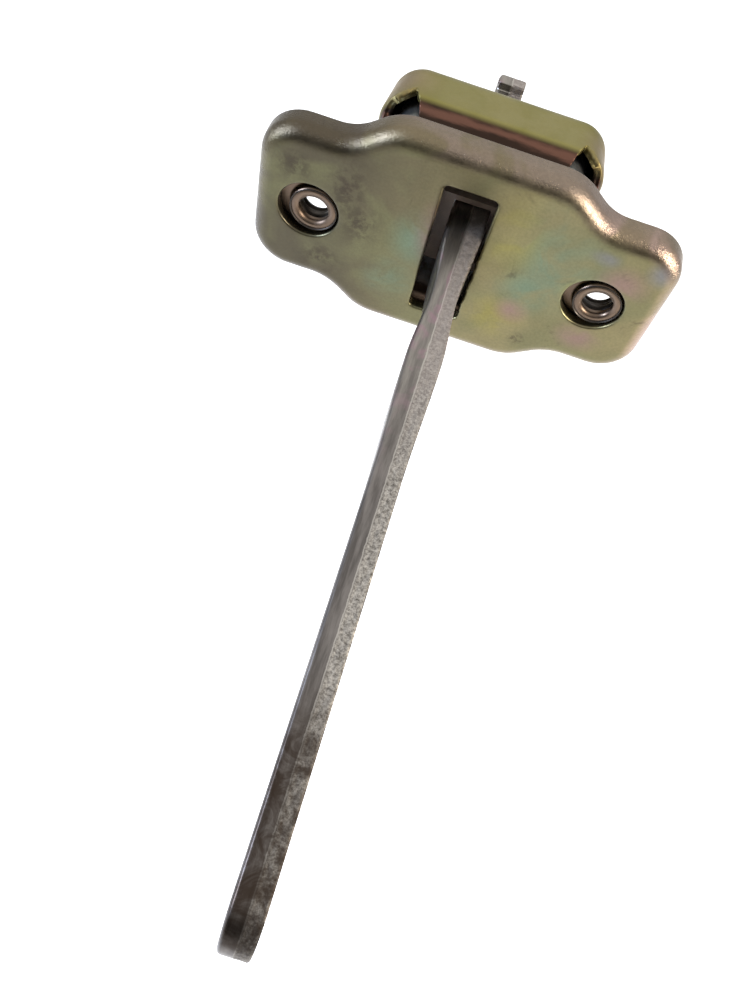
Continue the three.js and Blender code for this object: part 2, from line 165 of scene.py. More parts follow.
def rounded_path(corners, radii, step=0.5 * MM, arc_steps=14):
    """Closed outline, anticlockwise: straight runs joined by arcs tangent to both.

    Each corner's arc starts radius * tan(turn / 2) before the corner. Returns the points and
    their outward unit normals, so that point + normal * distance is a parallel outline.
    """
    corners = np.array(corners, float)
    along = np.roll(corners, -1, axis=0) - corners
    along /= np.linalg.norm(along, axis=1)[:, None]
    arcs = []
    for i, corner in enumerate(corners):
        before, after = along[i - 1], along[i]
        cross = before[0] * after[1] - before[1] * after[0]
        turn = math.atan2(cross, before @ after)
        radius = radii[i]
        start = corner - before * radius * math.tan(abs(turn) / 2)
        side = 1 if turn > 0 else -1
        centre = start + np.array([-before[1], before[0]]) * side * radius
        first = math.atan2(*(start - centre)[::-1])
        angles = first + np.linspace(0, turn, arc_steps + 1)
        ray = np.stack([np.cos(angles), np.sin(angles)], axis=1)
        arcs.append((centre + radius * ray, ray * side))
    points, normals = [], []
    for i, (arc, ray) in enumerate(arcs):
        ahead = arcs[(i + 1) % len(arcs)][0][0]
        count = max(int(np.linalg.norm(ahead - arc[-1]) / step), 1)
        share = np.linspace(0, 1, count, endpoint=False)[1:, None]
        points += [arc, arc[-1] + share * (ahead - arc[-1])]
        normals += [ray, np.repeat(ray[-1:], len(share), axis=0)]
    return np.concatenate(points), np.concatenate(normals)


def rectangle_path(half_a, half_b, radius, **steps):
    """Rounded rectangle centred on the origin, as rounded_path gives it."""
    corners = [(half_a, -half_b), (half_a, half_b), (-half_a, half_b), (-half_a, -half_b)]
    return rounded_path(corners, [radius] * 4, **steps)


def circle_path(radius, centre=(0, 0), count=96):
    """Circle of count points, with outward normals."""
    angles = np.linspace(0, 2 * np.pi, count, endpoint=False)
    ray = np.stack([np.cos(angles), np.sin(angles)], axis=1)
    return np.array(centre) + radius * ray, ray


def arc_profile(start_angle, end_angle, radius, centre, count=8):
    """Points of an arc, as (distance, depth) pairs: centre + radius * (cos, sin)."""
    angles = np.radians(np.linspace(start_angle, end_angle, count))
    return np.array(centre) + radius * np.stack([np.cos(angles), np.sin(angles)], axis=1)


def sweep(path, profile):
    """Closed outline carried along a profile of (outward distance, depth) pairs.

    The point for outline position i and profile position j is path[i] + normal[i] * distance[j]
    at depth[j]. Returns a grid of (a, depth, b) points, outline first.
    """
    points, normals = path
    profile = np.asarray(profile)
    flat = points[:, None, :] + normals[:, None, :] * profile[None, :, :1]
    depth = np.broadcast_to(profile[None, :, 1], flat.shape[:2])
    return np.stack([flat[..., 0], depth, flat[..., 1]], axis=-1)


def grid_faces(rows, columns):
    """Quads of a grid that closes on itself along its first direction."""
    i, j = np.meshgrid(np.arange(rows), np.arange(columns - 1), indexing="ij")
    after = (i + 1) % rows
    corners = [i * columns + j, after * columns + j, after * columns + j + 1, i * columns + j + 1]
    return np.stack(corners, axis=-1).reshape(-1, 4)


def inside(points, loop):
    """Which points lie inside a closed loop: an odd number of its edges cross a ray to +a."""
    first, second = loop, np.roll(loop, -1, axis=0)
    y = points[:, 1, None]
    spans = (first[:, 1] > y) != (second[:, 1] > y)
    rise = np.where(second[:, 1] == first[:, 1], 1e-12, second[:, 1] - first[:, 1])
    crossing = first[:, 0] + (y - first[:, 1]) / rise * (second[:, 0] - first[:, 0])
    return (spans & (points[:, 0, None] < crossing)).sum(axis=1) % 2 == 1


def flat_face(outer, holes, spacing):
    """Triangles of the flat region inside one closed loop and outside others.

    A square lattice of points is laid in the region, clear of the loops, and joined to them by
    a constrained Delaunay triangulation. Returns the points and the triangles.
    """
    loops = [outer, *holes]
    low, high = outer.min(axis=0), outer.max(axis=0)
    lattice = np.stack(np.meshgrid(
        np.arange(low[0], high[0], spacing), np.arange(low[1], high[1], spacing), indexing="ij",
    ), axis=-1).reshape(-1, 2)
    keep = inside(lattice, outer)
    for loop in holes:
        keep &= ~inside(lattice, loop)
    for loop in loops:
        nearest = np.min(((lattice[:, None, :] - loop[None, ::2, :]) ** 2).sum(axis=-1), axis=1)
        keep &= nearest > (0.6 * spacing) ** 2
    points = np.concatenate([*loops, lattice[keep]])
    edges, start = [], 0
    for loop in loops:
        index = start + np.arange(len(loop))
        edges.append(np.stack([index, np.roll(index, -1)], axis=1))
        start += len(loop)
    edges = np.concatenate(edges)
    scale = 1000.0
    verts, _, faces, *_ = geometry.delaunay_2d_cdt(
        [Vector(p) for p in points * scale], edges.tolist(), [], 0, 1e-6,
    )
    verts = np.array([tuple(v) for v in verts]) / scale
    faces = np.array([face for face in faces if len(face) == 3])
    middle = verts[faces].mean(axis=1)
    keep = inside(middle, outer)
    for loop in holes:
        keep &= ~inside(middle, loop)
    return verts, faces[keep]


class Surface:
    """Patches of points and faces, joined into one mesh whose shared edges are merged."""

    def __init__(self):
        self.points = []
        self.faces = []
        self.values = []
        self.count = 0

    def add(self, points, faces, value=0.0):
        """One patch, with a value or an array of values for the stretch attribute."""
        points = np.asarray(points).reshape(-1, 3)
        self.points.append(points)
        self.faces += (np.asarray(faces) + self.count).tolist()
        self.values.append(np.broadcast_to(np.asarray(value, float).reshape(-1), len(points)))
        self.count += len(points)

    def add_sweep(self, path, profile, value=0.0):
        """A swept band; value may be given for each profile point."""
        grid = sweep(path, profile)
        spread = np.broadcast_to(np.asarray(value, float), grid.shape[:2])
        self.add(grid, grid_faces(*grid.shape[:2]), spread)

    def add_flat(self, outer, holes, depth, spacing=2 * MM):
        """A flat face at one depth between an outer loop and its holes."""
        verts, faces = flat_face(outer, holes, spacing)
        points = np.stack([verts[:, 0], np.full(len(verts), depth), verts[:, 1]], axis=1)
        self.add(points, faces)

    def build(self, name, sharp_degrees=40, shape=None):
        """Merges the patches, turns the faces outwards and makes the object."""
        points = np.concatenate(self.points)
        if shape is not None:
            points = shape(points)
        mesh = bpy.data.meshes.new(name)
        mesh.from_pydata(points.tolist(), [], self.faces)
        stretch = mesh.attributes.new("stretch", "FLOAT", "POINT")
        stretch.data.foreach_set("value", np.concatenate(self.values).astype(np.float32))
        work = bmesh.new()
        work.from_mesh(mesh)
        bmesh.ops.remove_doubles(work, verts=work.verts, dist=2e-6)
        bmesh.ops.dissolve_degenerate(work, edges=work.edges, dist=1e-7)
        bmesh.ops.recalc_face_normals(work, faces=work.faces)
        work.to_mesh(mesh)
        work.free()
        mesh.polygons.foreach_set("use_smooth", np.ones(len(mesh.polygons), bool))
        mesh.set_sharp_from_angle(angle=math.radians(sharp_degrees))
        made = bpy.data.objects.new(name, mesh)
        bpy.context.scene.collection.objects.link(made)
        return made


# ---- materials ----------------------------------------------------------------------------

SOFT = {"interpolation_type": "SMOOTHSTEP"}
COLOUR = {"data_type": "RGBA"}


def linear(code):
    """sRGB hex to linear colour with alpha 1."""
    channels = [int(code[i:i + 2], 16) / 255 for i in (1, 3, 5)]
    return [c / 12.92 if c <= 0.04045 else ((c + 0.055) / 1.055) ** 2.4 for c in channels] + [1.0]


def add(tree, kind, inputs=None, out=0, **settings):
    """Adds a node with its settings. Each input takes a value or another node's socket. Gives
    the output named by out, or the node itself where out is None."""
    node = tree.nodes.new("ShaderNode" + kind)
    for name, value in settings.items():
        setattr(node, name, value)
    for name, value in (inputs or {}).items():
        if isinstance(value, bpy.types.NodeSocket):
            tree.links.new(value, node.inputs[name])
        else:
            node.inputs[name].default_value = value
    return node if out is None else node.outputs[out]


def blank_material(name):
    """An empty material and its Object coordinates."""
    material = bpy.data.materials.new(name)
    material.use_nodes = True
    material.node_tree.nodes.clear()
    return material, material.node_tree, add(material.node_tree, "TexCoord", out="Object")


def coat(tree, inputs):
    """The shader that takes a finish's colour, gloss and relief, joined to the surface."""
    add(tree, "OutputMaterial", {"Surface": add(tree, "BsdfPrincipled", inputs)}, None)


def patches(tree, place, spots):
    """1 at each spot, falling smoothly to 0 at its radius. A spot is a centre, a radius and how
    much narrower it is up than across, in millimetres."""
    amount = 0.0
    for centre, radius, squash in spots:
        middle = [value * MM for value in centre]
        moved = add(tree, "VectorMath", {0: place, 1: middle}, operation="SUBTRACT")
        shaped = add(tree, "VectorMath", {0: moved, 1: (1, 1, squash)}, operation="MULTIPLY")
        length = add(tree, "VectorMath", {0: shaped}, "Value", operation="LENGTH")
        spot = add(tree, "MapRange", {0: length, 1: 0.0, 2: radius * MM, 3: 1.0, 4: 0.0}, **SOFT)
        amount = add(tree, "Math", {0: amount, 1: spot}, operation="MAXIMUM")
    return amount


def yellow_chromate_plate():
    """Zinc plate with a yellow chromate film, on cold-rolled sheet drawn into a tray.

    The film is thin enough to show interference tints: olive, with green-blue and pink clouds.
    Drawing roughens the bends into fine grain. Handling leaves brown-grey smudges."""
    material, tree, place = blank_material("yellow_chromate_zinc")
    along = add(tree, "SeparateXYZ", {0: place})
    drift = add(tree, "TexNoise", {
        "Vector": place, "Scale": 1 / (15 * MM), "Detail": 3, "Distortion": 0.9,
    })
    wander = add(tree, "TexNoise", {
        "Vector": place, "Scale": 1 / (7 * MM), "Detail": 3, "Distortion": 1.2,
    })
    wander = add(tree, "MapRange", {0: wander, 1: 0.32, 2: 0.6, 3: 0.25, 4: 1.0}, **SOFT)
    # painted shade: the plate's colour darkens towards the left, where less light falls on it
    side = add(tree, "MapRange", {0: along, 1: -24 * MM, 2: 9 * MM}, **SOFT)
    base = add(tree, "Mix", {0: side, 6: linear("#4a4538"), 7: linear("#6f684c")}, 2, **COLOUR)
    olive = add(tree, "MapRange", {0: drift, 1: 0.42, 2: 0.66, 3: 0.0, 4: 0.7}, **SOFT)
    base = add(tree, "Mix", {0: olive, 6: base, 7: linear("#605f45")}, 2, **COLOUR)
    for tint, depth, spots in FILM_TINTS:
        spread = patches(tree, place, spots)
        amount = add(tree, "Math", {0: spread, 1: wander}, operation="MULTIPLY")
        amount = add(tree, "Math", {0: amount, 1: depth}, operation="MULTIPLY")
        base = add(tree, "Mix", {0: amount, 6: base, 7: linear(tint)}, 2, **COLOUR)
    # the rim's film is plainer than the flat's: olive at the left wing, pinkish beige at the right
    drawn = add(tree, "Attribute", None, "Fac", attribute_name="stretch")
    rim = add(tree, "MapRange", {0: along, 1: -22 * MM, 2: -12 * MM}, **SOFT)
    rim = add(tree, "Mix", {0: rim, 6: linear("#4e463a"), 7: linear("#7a6c60")}, 2, **COLOUR)
    right = add(tree, "MapRange", {0: along, 1: 12 * MM, 2: 27 * MM}, **SOFT)
    rim = add(tree, "Mix", {0: right, 6: rim, 7: linear("#927d74")}, 2, **COLOUR)
    bare = add(tree, "MapRange", {0: drift, 1: 0.45, 2: 0.6, 3: 0.0, 4: 0.6}, **SOFT)
    rim = add(tree, "Mix", {0: bare, 6: rim, 7: linear("#655c40")}, 2, **COLOUR)
    on_rim = add(tree, "Math", {0: drawn, 1: 0.9}, operation="MULTIPLY")
    base = add(tree, "Mix", {0: on_rim, 6: base, 7: rim}, 2, **COLOUR)
    # smudges about 6 mm across, broken up by 2.4 mm specks
    smudge = add(tree, "TexNoise", {
        "Vector": place, "Scale": 1 / (6 * MM), "Detail": 4, "Roughness": 0.7, "Distortion": 0.5,
    })
    smudge = add(tree, "MapRange", {0: smudge, 1: 0.60, 2: 0.78, 3: 0.0, 4: 0.5}, **SOFT)
    speckle = add(tree, "TexNoise", {
        "Vector": place, "Scale": 1 / (2.4 * MM), "Detail": 5, "Roughness": 0.72, "Distortion": 0.3,
    })
    speckle = add(tree, "MapRange", {0: speckle, 1: 0.40, 2: 0.62, 3: 0.0, 4: 0.8}, **SOFT)
    handled = patches(tree, place, SMUDGES)
    handled = add(tree, "Math", {0: handled, 1: speckle}, operation="MULTIPLY")
    smudge = add(tree, "Math", {0: smudge, 1: handled}, operation="MAXIMUM")
    base = add(tree, "Mix", {0: smudge, 6: base, 7: linear("#37302a")}, 2, **COLOUR)
    fine = add(tree, "TexNoise", {"Vector": place, "Scale": 1 / (0.5 * MM), "Detail": 2})
    fine = add(tree, "MapRange", {0: fine, 1: 0.3, 2: 0.7, 3: 0.0, 4: 0.15}, **SOFT)
    base = add(tree, "Mix", {0: fine, 6: base, 7: linear("#3b372d")}, 2, **COLOUR)
    mottled = add(tree, "TexNoise", {
        "Vector": place, "Scale": 1 / (5 * MM), "Detail": 4, "Roughness": 0.6,
    })
    mottled = add(tree, "MapRange", {0: mottled, 1: 0.3, 2: 0.7, 3: 0.30, 4: 0.42}, **SOFT)
    mottled = add(tree, "Math", {0: drawn, 1: -0.07, 2: mottled}, operation="MULTIPLY_ADD")
    # drawn grain is about 0.25 mm, drawn at 0.4 mm to show; the flats keep a faint rolled waviness
    grain = add(tree, "TexNoise", {
        "Vector": place, "Scale": 1 / (0.42 * MM), "Detail": 4, "Roughness": 0.7,
    })
    share = add(tree, "Math", {0: drawn, 1: 0.9, 2: 0.12}, operation="MULTIPLY_ADD")
    grain = add(tree, "Math", {0: grain, 1: share}, operation="MULTIPLY")
    wave = add(tree, "TexNoise", {"Vector": place, "Scale": 1 / (11 * MM), "Detail": 2})
    height = add(tree, "Math", {0: wave, 1: 0.6, 2: grain}, operation="MULTIPLY_ADD")
    relief = add(tree, "Bump", {"Height": height, "Strength": 1.0, "Distance": 0.1 * MM})
    coat(tree, {"Base Color": base, "Metallic": 1.0, "Roughness": mottled, "Normal": relief})
    return material


def yellow_chromate_cover():
    """Zinc plate with a thicker yellow chromate on the deep-drawn cover.

    Plain olive-yellow, pinker where the film thins round the corners. The lips carry painted shade
    and a painted highlight near their cut edge."""
    material, tree, place = blank_material("yellow_chromate_cover")
    drift = add(tree, "TexNoise", {
        "Vector": place, "Scale": 1 / (14 * MM), "Detail": 3, "Distortion": 0.8,
    })
    drift = add(tree, "MapRange", {0: drift, 1: 0.35, 2: 0.65}, **SOFT)
    base = add(tree, "Mix", {0: drift, 6: linear("#6f6a35"), 7: linear("#7c7548")}, 2, **COLOUR)
    thin = patches(tree, place, (((-18, 19, 15), 9, 1), ((19, 17, 14), 8, 1)))
    thin = add(tree, "Math", {0: thin, 1: 0.7}, operation="MULTIPLY")
    base = add(tree, "Mix", {0: thin, 6: base, 7: linear("#86705c")}, 2, **COLOUR)
    # painted shade and reflection: the lip is coloured darkest just under the fold, where it faces
    # the plate's back; a painted highlight shows as a redder line before its cut edge
    lip = add(tree, "Attribute", None, "Fac", attribute_name="stretch")
    depth = add(tree, "SeparateXYZ", {0: place}, "Y")
    long = add(tree, "Mapping", {"Vector": place, "Scale": (0.2, 1, 1)})
    edge_wobble = add(tree, "TexNoise", {
        "Vector": long, "Scale": 1 / (1.5 * MM), "Detail": 4, "Roughness": 0.65,
    })
    depth = add(tree, "Math", {0: edge_wobble, 1: 1.6 * MM, 2: depth}, operation="MULTIPLY_ADD")
    line = add(tree, "MapRange", {0: depth, 1: LIP_EDGE + 3.3 * MM, 2: LIP_EDGE + 2.4 * MM}, **SOFT)
    end = add(tree, "MapRange", {0: depth, 1: LIP_EDGE + 1.5 * MM, 2: LIP_EDGE + 2.2 * MM}, **SOFT)
    line = add(tree, "Math", {0: line, 1: end}, operation="MULTIPLY")
    # dark brown painted shade, with the redder painted highlight line
    under = add(tree, "Mix", {0: line, 6: linear("#2e231d"), 7: linear("#5c4136")}, 2, **COLOUR)
    base = add(tree, "Mix", {0: lip, 6: base, 7: under}, 2, **COLOUR)
    fine = add(tree, "TexNoise", {
        "Vector": place, "Scale": 1 / (0.4 * MM), "Detail": 3, "Roughness": 0.6,
    })
    fine = add(tree, "MapRange", {0: fine, 1: 0.35, 2: 0.75, 3: 0.0, 4: 0.25}, **SOFT)
    wall = add(tree, "Math", {0: 1.0, 1: lip}, operation="SUBTRACT")
    fine = add(tree, "Math", {0: fine, 1: wall}, operation="MULTIPLY")
    base = add(tree, "Mix", {0: fine, 6: base, 7: linear("#6d6742")}, 2, **COLOUR)
    dull = add(tree, "TexNoise", {
        "Vector": place, "Scale": 1 / (3 * MM), "Detail": 4, "Roughness": 0.6,
    })
    dull = add(tree, "MapRange", {0: dull, 1: 0.3, 2: 0.7, 3: 0.36, 4: 0.5}, **SOFT)
    grain = add(tree, "TexNoise", {
        "Vector": place, "Scale": 1 / (0.3 * MM), "Detail": 3, "Roughness": 0.6,
    })
    wave = add(tree, "TexNoise", {"Vector": place, "Scale": 1 / (6 * MM), "Detail": 2})
    height = add(tree, "Math", {0: grain, 1: wave}, operation="ADD")
    relief = add(tree, "Bump", {"Height": height, "Strength": 0.4, "Distance": 0.04 * MM})
    coat(tree, {"Base Color": base, "Metallic": 1.0, "Roughness": dull, "Normal": relief})
    return material


def zinc(name, dark, light, front_film_and_shade, patch_mm, dull_to):
    """Zinc plate on pressed steel: soft clouds of patch_mm under a satin shine. Towards the front
    of the case it turns warmer where the yellow film has run over it, and darker as painted shade."""
    material, tree, place = blank_material(name)
    cloud = add(tree, "TexNoise", {
        "Vector": place, "Scale": 1 / (patch_mm * MM), "Detail": 4, "Roughness": 0.6,
        "Distortion": 0.6,
    })
    cloud = add(tree, "MapRange", {0: cloud, 1: 0.35, 2: 0.68}, **SOFT)
    base = add(tree, "Mix", {0: cloud, 6: linear(dark), 7: linear(light)}, 2, **COLOUR)
    depth = add(tree, "SeparateXYZ", {0: place}, "Y")
    # painted shade mixed with the yellow film: the front of the case, behind the plate, takes a
    # darker, warmer colour
    front = add(tree, "MapRange", {0: depth, 1: 4.5 * MM, 2: 6 * MM, 3: 1.0, 4: 0.0}, **SOFT)
    base = add(tree, "Mix", {0: front, 6: base, 7: linear(front_film_and_shade)}, 2, **COLOUR)
    dull = add(tree, "MapRange", {0: cloud, 3: 0.30, 4: dull_to}, **SOFT)
    grain = add(tree, "TexNoise", {
        "Vector": place, "Scale": 1 / (0.35 * MM), "Detail": 3, "Roughness": 0.6,
    })
    relief = add(tree, "Bump", {"Height": grain, "Strength": 0.35, "Distance": 0.03 * MM})
    coat(tree, {"Base Color": base, "Metallic": 1.0, "Roughness": dull, "Normal": relief})
    return material


def sheared_strip():
    """Low-carbon steel strip cut by a shear. The blade burnishes the first part of the cut edge
    smooth and dark; the rest breaks away grainy and bright. Old oil darkens it to the tip."""
    material, tree, place = blank_material("sheared_bare_steel")
    zone = add(tree, "Attribute", None, "Fac", attribute_name="stretch")
    # the attribute runs 0 on the rolled faces, then 0.1 to 1 across the cut edge
    ragged = add(tree, "TexNoise", {
        "Vector": place, "Scale": 1 / (1.6 * MM), "Detail": 4, "Roughness": 0.7,
    })
    across = add(tree, "Math", {0: ragged, 1: 0.07, 2: -0.035}, operation="MULTIPLY_ADD")
    across = add(tree, "Math", {0: zone, 1: across}, operation="ADD")
    fracture = add(tree, "MapRange", {0: across, 1: 0.55, 2: 0.63}, **SOFT)
    reach = add(tree, "SeparateXYZ", {0: place}, "Y")
    worn = add(tree, "MapRange", {0: reach, 1: -48 * MM, 2: -12 * MM}, **SOFT)
    # the blade drags streaks eight times as long as they are wide
    streak = add(tree, "Mapping", {"Vector": place, "Scale": (1, 0.12, 0.12)})
    lines = add(tree, "TexNoise", {
        "Vector": streak, "Scale": 1 / (1.5 * MM), "Detail": 4, "Roughness": 0.7,
    })
    shade = add(tree, "MapRange", {0: lines, 1: 0.32, 2: 0.7}, **SOFT)
    dark = add(tree, "Mix", {0: worn, 6: linear("#4d4946"), 7: linear("#6c6762")}, 2, **COLOUR)
    light = add(tree, "Mix", {0: worn, 6: linear("#6f6a66"), 7: linear("#8b867e")}, 2, **COLOUR)
    smooth = add(tree, "Mix", {0: shade, 6: dark, 7: light}, 2, **COLOUR)
    pink = add(tree, "TexNoise", {
        "Vector": place, "Scale": 1 / (6 * MM), "Detail": 3, "Distortion": 1.0,
    })
    pink = add(tree, "MapRange", {0: pink, 1: 0.5, 2: 0.62, 3: 0.0, 4: 0.55}, **SOFT)
    pink = add(tree, "Math", {0: pink, 1: worn}, operation="MULTIPLY")
    smooth = add(tree, "Mix", {0: pink, 6: smooth, 7: linear("#8c7079")}, 2, **COLOUR)
    grains = add(tree, "TexNoise", {
        "Vector": place, "Scale": 1 / (0.5 * MM), "Detail": 5, "Roughness": 0.8,
    })
    torn = add(tree, "MapRange", {0: grains, 1: 0.3, 2: 0.7}, **SOFT)
    rough = add(tree, "Mix", {0: torn, 6: linear("#4b4742"), 7: linear("#a39e96")}, 2, **COLOUR)
    pale = add(tree, "Math", {0: worn, 1: 0.6}, operation="MULTIPLY")
    rough = add(tree, "Mix", {0: pale, 6: rough, 7: linear("#8d847f")}, 2, **COLOUR)
    edge = add(tree, "Mix", {0: fracture, 6: smooth, 7: rough}, 2, **COLOUR)
    # painted highlight: a thin bright line where the burnished band meets the fractured one
    boundary_glint = add(tree, "Math", {0: across, 1: 0.57, 2: 0.018}, operation="COMPARE")
    boundary_glint = add(tree, "Math", {0: boundary_glint, 1: 0.4}, operation="MULTIPLY")
    edge = add(tree, "Mix", {0: boundary_glint, 6: edge, 7: linear("#b9b4ab")}, 2, **COLOUR)
    rolled = add(tree, "TexNoise", {
        "Vector": streak, "Scale": 1 / (1.2 * MM), "Detail": 4, "Roughness": 0.6,
    })
    rolled = add(tree, "MapRange", {0: rolled, 1: 0.3, 2: 0.7}, **SOFT)
    faces = add(tree, "Mix", {0: rolled, 6: linear("#55514b"), 7: linear("#6c6862")}, 2, **COLOUR)
    cut = add(tree, "MapRange", {0: zone, 1: 0.02, 2: 0.09}, **SOFT)
    base = add(tree, "Mix", {0: cut, 6: faces, 7: edge}, 2, **COLOUR)
    film = add(tree, "TexNoise", {
        "Vector": place, "Scale": 1 / (4 * MM), "Detail": 4, "Roughness": 0.7, "Distortion": 0.8,
    })
    film = add(tree, "MapRange", {0: film, 1: 0.28, 2: 0.6, 3: 0.4, 4: 0.9}, **SOFT)
    oil = add(tree, "MapRange", {0: reach, 1: -84 * MM, 2: -70 * MM, 3: 1.0, 4: 0.0}, **SOFT)
    oil = add(tree, "Math", {0: oil, 1: film}, operation="MULTIPLY")
    base = add(tree, "Mix", {0: oil, 6: base, 7: linear("#2a211a")}, 2, **COLOUR)
    gloss = add(tree, "MapRange", {0: fracture, 3: 0.36, 4: 0.55})
    share = add(tree, "Math", {0: fracture, 1: 1.0, 2: 0.1}, operation="MULTIPLY_ADD")
    height = add(tree, "Math", {0: grains, 1: share}, operation="MULTIPLY")
    height = add(tree, "Math", {0: lines, 1: 0.3, 2: height}, operation="MULTIPLY_ADD")
    relief = add(tree, "Bump", {"Height": height, "Strength": 0.45, "Distance": 0.05 * MM})
    coat(tree, {"Base Color": base, "Metallic": 1.0, "Roughness": gloss, "Normal": relief})
    return material


def plain_steel(name, dark, light, low, high):
    """Cold-rolled or ground steel: faint lines 0.4 mm wide along the finish, under an oil film."""
    material, tree, place = blank_material(name)
    streak = add(tree, "Mapping", {"Vector": place, "Scale": (1, 1, 0.1)})
    lines = add(tree, "TexNoise", {
        "Vector": streak, "Scale": 1 / (0.4 * MM), "Detail": 4, "Roughness": 0.6,
    })
    shade = add(tree, "MapRange", {0: lines, 1: 0.3, 2: 0.7}, **SOFT)
    base = add(tree, "Mix", {0: shade, 6: linear(dark), 7: linear(light)}, 2, **COLOUR)
    film = add(tree, "TexNoise", {
        "Vector": place, "Scale": 1 / (2 * MM), "Detail": 3, "Roughness": 0.6,
    })
    film = add(tree, "MapRange", {0: film, 1: 0.3, 2: 0.7, 3: low, 4: high}, **SOFT)
    relief = add(tree, "Bump", {"Height": lines, "Strength": 0.3, "Distance": 0.02 * MM})
    coat(tree, {"Base Color": base, "Metallic": 1.0, "Roughness": film, "Normal": relief})
    return material


def moulded(name, dark, light, roughness, ior, grain_mm):
    """Moulded rubber or acetal: even colour with a little bloom, and a fine moulded grain."""
    material, tree, place = blank_material(name)
    bloom = add(tree, "TexNoise", {
        "Vector": place, "Scale": 1 / (5 * MM), "Detail": 4, "Roughness": 0.6,
    })
    bloom = add(tree, "MapRange", {0: bloom, 1: 0.35, 2: 0.7}, **SOFT)
    base = add(tree, "Mix", {0: bloom, 6: linear(dark), 7: linear(light)}, 2, **COLOUR)
    dull = add(tree, "MapRange", {0: bloom, 3: roughness - 0.08, 4: roughness + 0.08}, **SOFT)
    grain = add(tree, "TexNoise", {
        "Vector": place, "Scale": 1 / (grain_mm * MM), "Detail": 3, "Roughness": 0.6,
    })
    relief = add(tree, "Bump", {"Height": grain, "Strength": 0.4, "Distance": 0.04 * MM})
    coat(tree, {"Base Color": base, "IOR": ior, "Roughness": dull, "Normal": relief})
    return material


def studio_paper():
    """Seamless studio paper: matt, almost white, with a barely visible fibre."""
    material, tree, place = blank_material("studio_paper")
    fibre = add(tree, "TexNoise", {
        "Vector": place, "Scale": 1 / (40 * MM), "Detail": 3, "Roughness": 0.6,
    })
    base = add(tree, "Mix", {0: fibre, 6: linear("#fbfbfa"), 7: linear("#f6f6f5")}, 2, **COLOUR)
    coat(tree, {"Base Color": base, "Roughness": 0.9})
    return material


# ---- pieces -------------------------------------------------------------------------------

def plate_corners():
    """Corners of the plate: a wide middle that steps down to a wing at each end."""
    half = PLATE_HIGH[0]
    middle = PLATE_HIGH[2]
    lower = [(SHOULDER_X, -middle), (WING_ROOT_X, -WING_HALF), (half, -WING_HALF)]
    right = lower + [(x, -z) for x, z in reversed(lower)]
    return right + [(-x, -z) for x, z in right]


def front_plate():
    """Pressed tray. The rim's profile goes from the flat face round the bend, back along the
    rim, over its cut edge and forward again one sheet thickness inside."""
    rim_back = PLATE_HIGH[1]
    outline = rounded_path(plate_corners(), OUTLINE_RADII * 2)
    bend_inner = RIM_BEND - SHEET
    profile = np.concatenate([
        [(-RIM_BEND - FLAT_MARGIN, 0)],
        arc_profile(-90, 0, RIM_BEND, (-RIM_BEND, RIM_BEND), 16),
        [(0, rim_back - RIM_EDGE)],
        arc_profile(0, 90, RIM_EDGE, (-RIM_EDGE, rim_back - RIM_EDGE), 4),
        [(-SHEET, rim_back)],
        arc_profile(0, -90, bend_inner, (-RIM_BEND, RIM_BEND), 8),
    ])
    drawn = np.clip((np.arange(len(profile)) - 2) / 7, 0, 1)
    plate = Surface()
    plate.add_sweep(outline, profile, drawn)
    slot = rectangle_path(*SLOT_HALF, SLOT_CORNER, step=0.4 * MM, arc_steps=8)
    paths = [torn_slot(slot, np.array([PUNCH_X, 0]))]
    paths += [circle_path(SCREW_HOLE, (PUNCH_X + side * SCREW_X, 0)) for side in (-1, 1)]
    reach = PUNCH_ROLL + FLAT_MARGIN
    cut = np.concatenate([
        [(reach, 0)], arc_profile(-90, -180, PUNCH_ROLL, (PUNCH_ROLL, PUNCH_ROLL), 6), [(0, SHEET)],
    ])
    for path in paths:
        plate.add_sweep(path, cut)
    front = outline[0] - outline[1] * (RIM_BEND + FLAT_MARGIN)
    back = outline[0] - outline[1] * RIM_BEND
    plate.add_flat(front, [path[0] + path[1] * reach for path in paths], 0.0)
    plate.add_flat(back, [path[0] for path in paths], SHEET)
    made = plate.build("front_plate_pressing")
    finish(made, "case", "yellow_zinc_plate", yellow_chromate_plate(), "front_plate")


def torn_slot(path, shift):
    """The slot's outline, shifted, with the punch's small tears: its right lower side wanders by
    smoothed random steps of up to 0.2 mm."""
    points, normals = path
    steps = np.random.default_rng(4).normal(size=len(points) + 4)
    steps = np.convolve(steps, np.ones(5) / 5, mode="valid")
    low_right = (points[:, 0] > 0.9 * SLOT_HALF[0]) & (points[:, 1] < 2 * MM)
    return points + shift + normals * (np.where(low_right, steps, 0) * TEAR)[:, None], normals


